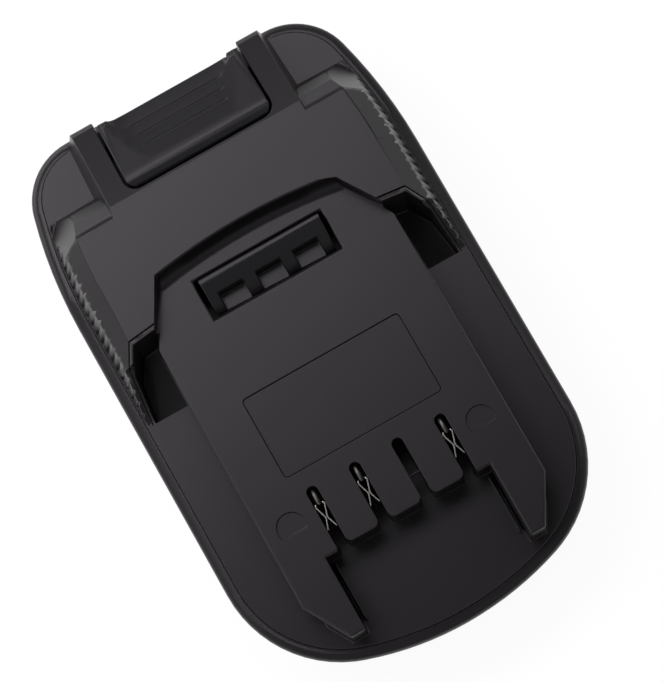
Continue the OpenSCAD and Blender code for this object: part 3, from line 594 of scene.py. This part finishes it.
woundCoil = coilTree()
coilSteps = 24.0  # points in one turn of a coil
latchSpring = {"x": 9.0, "y": 34.2, "foot": 18.05, "height": 10.55, "turns": 7.0, "outside": 5.0, "wire": 0.6,
               "sides": 12, "seat": 18.0, "pressed": 0.624}  # mm; pressed is the share left at full travel


def addSpring(side, pieceName, nodeName, s):  # closed-end coil between the lower shell and the latch plate
    spot = (side * s["x"] * mm, s["y"] * mm, s["foot"] * mm)
    spring = growPiece(pieceName, woundCoil, {
        "Place": spot, "Turns": s["turns"], "Turn Steps": coilSteps, "Outside": s["outside"] * mm,
        "Wire": s["wire"] * mm, "Height": s["height"] * mm, "Sides": s["sides"], "Metal": springSteel})
    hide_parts(nodeName)
    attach(spring, "housing")
    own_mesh(spring)


addSpring(-1, "springLeft", "latch_spring_left", latchSpring)
addSpring(1, "springRight", "latch_spring_right", latchSpring)
print("springs wound")


def wireTree():  # round insulation swept along a drawn path
    tree, size = newTree("sweptLead", {
        "Geometry": "Geometry", "Diameter": "Float", "Sides": "Int", "Cover": "Material"})
    path = addNode(tree, "GeometryNodeMeshToCurve", inputs={"Mesh": size["Geometry"]})
    half = addNode(tree, "ShaderNodeMath", {"operation": "MULTIPLY"}, {0: size["Diameter"], 1: 0.5})
    ring = addNode(tree, "GeometryNodeCurvePrimitiveCircle", {"mode": "RADIUS"}, {
        "Resolution": size["Sides"], "Radius": half})
    tube = addNode(tree, "GeometryNodeCurveToMesh", inputs={
        "Curve": path, "Profile Curve": ring, "Fill Caps": True})
    smooth = addNode(tree, "GeometryNodeSetShadeSmooth", inputs={"Geometry": tube})
    return closeTree(tree, smooth, size["Cover"])


sweptLead = wireTree()
lead = {"startX": 11.0, "endX": 13.875, "startY": -38.7, "endY": -27.7, "straight": 1.4, "bend": 4.0,
        "height": 19.1, "diameter": 1.6, "steps": 10, "sides": 24}  # mm


def addLead(side, pieceName, nodeName, cover, s):  # straight run, two soft bends, short end
    turn = math.acos(1 - (s["endX"] - s["startX"]) / (2 * s["bend"]))
    bends = [turn * k / s["steps"] for k in range(s["steps"] + 1)]
    last = s["endY"] - s["straight"]
    first = last - 2 * s["bend"] * math.sin(turn)
    swing = [(s["bend"] * (1 - math.cos(a)), s["bend"] * math.sin(a)) for a in bends]
    route = [(s["startX"], s["startY"])]
    route += [(s["startX"] + x, first + y) for x, y in swing]
    route += [(s["endX"] - x, last - y) for x, y in reversed(swing[:-1])]
    route += [(s["endX"], s["endY"])]
    mesh = bpy.data.meshes.new(pieceName)
    links = [(k, k + 1) for k in range(len(route) - 1)]
    mesh.from_pydata([(side * x * mm, y * mm, s["height"] * mm) for x, y in route], links, [])
    wire = growPiece(pieceName, sweptLead, {
        "Diameter": s["diameter"] * mm, "Sides": s["sides"], "Cover": cover}, mesh)
    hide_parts(nodeName)
    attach(wire, "housing")


addLead(1, "wirePlus", "positive_wire", redPvc, lead)
addLead(-1, "wireMinus", "negative_wire", blackPvc, lead)
print("leads swept")


def latheMesh(name, profile, sides):  # profile of (radius, height) in mm turned about the z axis
    points, rings, faces = [], [], []
    angles = [2 * math.pi * k / sides for k in range(sides)]
    for radius, height in profile:
        count = sides if radius else 1
        rings.append(range(len(points), len(points) + count))
        points += [(radius * mm * math.cos(a), radius * mm * math.sin(a), height * mm) for a in angles[:count]]
    for low, high in zip(rings, rings[1:]):
        for k in range(sides):
            after = (k + 1) % sides
            corners = (low[k % len(low)], low[after % len(low)], high[after % len(high)], high[k % len(high)])
            faces.append(list(dict.fromkeys(corners)))
    mesh = bpy.data.meshes.new(name)
    mesh.from_pydata(points, [], faces)
    mesh.polygons.foreach_set("use_smooth", [True] * len(mesh.polygons))
    return mesh


def crossMesh(name, arm, width, low, high, taper):  # four-armed driver bit, narrower at its tip
    points = []
    for height, share in ((low, 1.0), (high, taper)):
        for quarter in range(4):
            c, s = math.cos(quarter * math.pi / 2), math.sin(quarter * math.pi / 2)
            for a, w in ((width, -width), (arm, -width), (arm, width)):
                points.append((share * (a * c - w * s) * mm, share * (a * s + w * c) * mm, height * mm))
    ring = len(points) // 2
    sides = [(k, (k + 1) % ring, ring + (k + 1) % ring, ring + k) for k in range(ring)]
    mesh = bpy.data.meshes.new(name)
    mesh.from_pydata(points, [], sides + [tuple(reversed(range(ring))), tuple(range(ring, 2 * ring))])
    return mesh


def screwTree():  # the same screw at each point, its cross turned at random
    tree, size = newTree("screwSet", {
        "Geometry": "Geometry", "Blank": "Object", "Seed": "Int", "Metal": "Material"})
    spots = addNode(tree, "GeometryNodeMeshToPoints", inputs={"Mesh": size["Geometry"]})
    blank = addNode(tree, "GeometryNodeObjectInfo", {"transform_space": "ORIGINAL"}, {"Object": size["Blank"]})
    turn = addNode(tree, "FunctionNodeRandomValue", {"data_type": "FLOAT"}, {"Seed": size["Seed"]})
    turn.inputs[3].default_value = 2 * math.pi  # the float's upper end
    turned = addNode(tree, "ShaderNodeCombineXYZ", inputs={"Z": turn.outputs[1]})
    turned = addNode(tree, "FunctionNodeEulerToRotation", inputs={0: turned})
    screws = addNode(tree, "GeometryNodeInstanceOnPoints", inputs={
        "Points": spots, "Instance": blank.outputs["Geometry"], "Rotation": turned})
    return closeTree(tree, screws, size["Metal"])


screwSet = screwTree()
screwForm = {
    "head": ((0, 1), (0.5, 1), (0.72, 0.95), (0.88, 0.8), (0.97, 0.58), (1, 0.36), (1, 0.06), (0.97, 0)),
    "tip": ((1, 1.6), (0.55, 0.35), (0.2, 0), (0, 0)),  # share of the shank's radius, mm from the end
    "sides": 40,
    "arm": 0.64, "width": 0.15, "floor": 0.45, "taper": 0.72, "proud": 0.4,  # the bit that cuts the cross
    "threadStart": 0.7, "threadShort": 2.4, "threadSides": 6,
}
shellScrew = {"head": 5.4, "depth": 1.9, "shank": 2.8, "length": 9.99, "pitch": 1.1, "crest": 2.94,
              "ridge": 0.34,  # mm
              "spots": ((26, 30.8, 16.7), (-26, 30.8, 16.7), (22, -42.2, 16.7), (-22, -42.2, 16.7))}
blockScrew = {"head": 4.4, "depth": 1.7, "shank": 2.3, "length": 9.59, "pitch": 0.9, "crest": 2.44,
              "ridge": 0.3,  # mm
              "spots": ((5.4, -41.2, 8.2), (-5.4, -41.2, 8.2))}


def addScrews(pieceName, nodeName, seed, form, s):  # pan-head self-tapping screws, head down
    wide, deep, thin = s["head"] / 2, s["depth"], s["shank"] / 2
    profile = [(c * wide, -h * deep) for c, h in form["head"]] + [(thin, 0)]
    profile += [(c * thin, s["length"] - short) for c, short in form["tip"]]
    blank = bpy.data.objects.new("screwBlank", latheMesh("screwBlank", profile, form["sides"]))
    cross = crossMesh("driverBit", form["arm"] * wide, form["width"] * wide, -deep - form["proud"],
                      -form["floor"] * deep, form["taper"])
    bit = bpy.data.objects.new("driverBit", cross)
    for part in (blank, bit):
        scene.collection.objects.link(part)
    cut = blank.modifiers.new("driverRecess", "BOOLEAN")
    cut.operation = "DIFFERENCE"
    cut.solver = "EXACT"
    cut.object = bit
    keepMesh(blank)
    blank.data.set_sharp_from_angle(angle=shadeSplit)
    threaded = s["length"] - form["threadShort"]
    thread = growPiece("screwThread", woundCoil, {
        "Place": (0, 0, form["threadStart"] * mm), "Turns": threaded / s["pitch"], "Turn Steps": coilSteps,
        "Outside": s["crest"] * mm, "Wire": s["ridge"] * mm, "Height": threaded * mm,
        "Sides": form["threadSides"], "Metal": zincScrew})
    bm = bmesh.new()
    bm.from_mesh(blank.data)
    bm.from_mesh(thread.data)
    bm.to_mesh(blank.data)
    bm.free()
    spots = bpy.data.meshes.new(pieceName)
    spots.from_pydata([tuple(c * mm for c in spot) for spot in s["spots"]], [], [])
    screws = growPiece(pieceName, screwSet, {"Blank": blank, "Seed": seed, "Metal": zincScrew}, spots)
    for part in (blank, bit, thread):
        bpy.data.objects.remove(part)
    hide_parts(nodeName)
    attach(screws, "housing")


addScrews("housingScrews", "housing_screws", 4, screwForm, shellScrew)
addScrews("blockScrews", "terminal_block_screws", 9, screwForm, blockScrew)
print("screws set")

resistor = {
    "x": -9.25, "y": -26.4, "z": 19.2,  # mm, as the next line
    "lead": 0.25, "reach": 4.475, "half": 2.0, "bulge": 0.85, "waist": 0.68,
    "waistEnd": 0.55,  # share of half
    "bell": ((0.9, 0.64), (1, 0.74), (1, 0.86), (0.85, 0.95), (0.5, 1)),  # shares of bulge and of half
    "leadStart": 1.03, "glazeEnd": 1.02, "sides": 24,
    "glaze": "#4f7f8c", "bandHalf": 0.045, "lastStop": 0.999,
    "bands": ((0.20, "#6b3a1f"), (0.40, "#151515"), (0.60, "#a3241c"), (0.82, "#b08a3a")),
    "dipSize": 0.8, "dipHeight": 0.01, "dipDetail": 2.0, "gloss": (0.2, 0.32),
}


def resistorGlaze(s):  # dipped blue glaze with generic colour rings, glossy and slightly uneven
    material, tree = newMaterial("glazedResistorBody")
    place = addNode(tree, "ShaderNodeTexCoord").outputs["Object"]
    side = addNode(tree, "ShaderNodeSeparateXYZ", inputs={0: place}).outputs["X"]
    along = addNode(tree, "ShaderNodeMapRange", inputs={
        "Value": side, "From Min": (s["x"] - s["half"]) * mm, "From Max": (s["x"] + s["half"]) * mm})
    ramp = addNode(tree, "ShaderNodeValToRGB", inputs={"Fac": along})
    stops = ramp.color_ramp
    stops.interpolation = "CONSTANT"
    stops.elements[1].position = s["lastStop"]
    for stop in stops.elements:
        stop.color = linearColour(s["glaze"])
    for middle, tone in s["bands"]:
        stops.elements.new(middle - s["bandHalf"]).color = linearColour(tone)
        stops.elements.new(middle + s["bandHalf"]).color = linearColour(s["glaze"])
    dip = addNode(tree, "ShaderNodeTexNoise", inputs={
        "Vector": place, "Scale": 1 / (s["dipSize"] * mm), "Detail": s["dipDetail"]}).outputs["Fac"]
    bump = addNode(tree, "ShaderNodeBump", inputs={"Height": dip, "Distance": s["dipHeight"] * mm})
    gloss = addNode(tree, "ShaderNodeMapRange", inputs={
        "Value": dip, "To Min": s["gloss"][0], "To Max": s["gloss"][1]})
    shader = addNode(tree, "ShaderNodeBsdfPrincipled", inputs={
        "Base Color": ramp.outputs["Color"], "Roughness": gloss, "Normal": bump})
    addNode(tree, "ShaderNodeOutputMaterial", inputs={0: shader})
    return material


def addResistor(s):  # glazed dumbbell body on tinned leads
    half = s["half"]
    right = [(s["waist"], s["waistEnd"] * half)] + [(c * s["bulge"], z * half) for c, z in s["bell"]]
    right += [(s["lead"], s["leadStart"] * half), (s["lead"], s["reach"]), (0, s["reach"])]
    mesh = latheMesh("senseResistor", [(c, -z) for c, z in reversed(right)] + right, s["sides"])
    spot = Vector((s["x"], s["y"], s["z"])) * mm
    mesh.transform(Matrix.Translation(spot) @ Matrix.Rotation(math.pi / 2, 4, "Y"))
    mesh.materials.append(resistorGlaze(s))
    mesh.materials.append(zincScrew)
    for face in mesh.polygons:
        face.material_index = int(abs(face.center.x - spot.x) > s["glazeEnd"] * half * mm)
    mesh.set_sharp_from_angle(angle=shadeSplit)
    piece = bpy.data.objects.new("senseResistor", mesh)
    scene.collection.objects.link(piece)
    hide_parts("sense_resistor")
    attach(piece, "housing")


addResistor(resistor)
print("resistor made")
